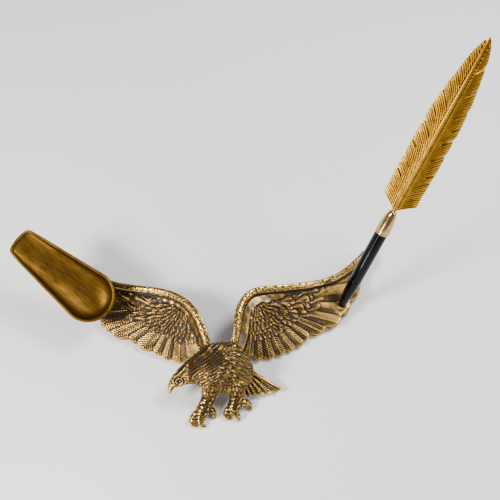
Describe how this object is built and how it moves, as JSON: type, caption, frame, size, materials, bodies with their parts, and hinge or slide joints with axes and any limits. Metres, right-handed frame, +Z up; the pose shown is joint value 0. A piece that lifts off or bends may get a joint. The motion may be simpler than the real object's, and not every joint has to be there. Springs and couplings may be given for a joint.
{
  "type": "desk pen stand",
  "caption": "Cast brass eagle desk pen stand with spread wings, a scoop-shaped rest on one wing tip and a feather-topped ballpoint pen in a socket.",
  "frame": {"origin": "centre of the footprint (of the whole object's outline seen from above) on the tabletop", "axes": "+X to the viewer's right, +Y to the back, +Z up; the front of the eagle faces -Y"},
  "size_m": [0.302, 0.1608, 0.2031],
  "materials": {
    "aged_brass": "antiqued cast relief, dark patina in the recesses, worn bright on the high spots",
    "scoop_brass": "satin, brushed along its length",
    "gilt_brass": "bright satin",
    "polished_brass": "polished",
    "black_plastic": "gloss",
    "screw_brass": "turned, dull",
    "refill_metal": "drawn"
  },
  "bodies": {
    "stand": {"eagle_body": "aged_brass", "left_wing": "aged_brass", "right_wing": "aged_brass", "tail_fan": "aged_brass", "left_leg": "aged_brass", "right_leg": "aged_brass", "wing_screws": "screw_brass", "leg_studs": "screw_brass", "scoop": "scoop_brass", "scoop_washer": "screw_brass", "scoop_screw": "screw_brass", "pen_socket": "screw_brass"},
    "pen_front": {"nose_section": "black_plastic", "refill_point": "refill_metal", "refill_tube": "refill_metal"},
    "pen_connector": {"thread_connector": "screw_brass"},
    "pen_barrel": {"barrel": "black_plastic", "barrel_insert": "screw_brass", "ferrule": "polished_brass", "feather": "gilt_brass"}
  },
  "joints": [
    {"name": "pen_lift", "type": "slide", "parent": "stand", "child": "pen_front", "axis": [0.3302, 0.3337, 0.8829], "range_m": [0, 0.02]},
    {"name": "barrel_advance", "type": "slide", "parent": "pen_front", "child": "pen_connector", "axis": [0.3302, 0.3337, 0.8829], "range_m": [0, 0.004]},
    {"name": "barrel_turn", "type": "hinge", "parent": "pen_connector", "child": "pen_barrel", "pos_m": [0.07745, 0.00671, 0.0094], "axis": [0.3302, 0.3337, 0.8829], "range_deg": [0, 1800]}
  ],
  "couplings": [
    {"joint": "barrel_advance", "follows": "barrel_turn", "m_per_rad": 0.00012732}
  ]
}
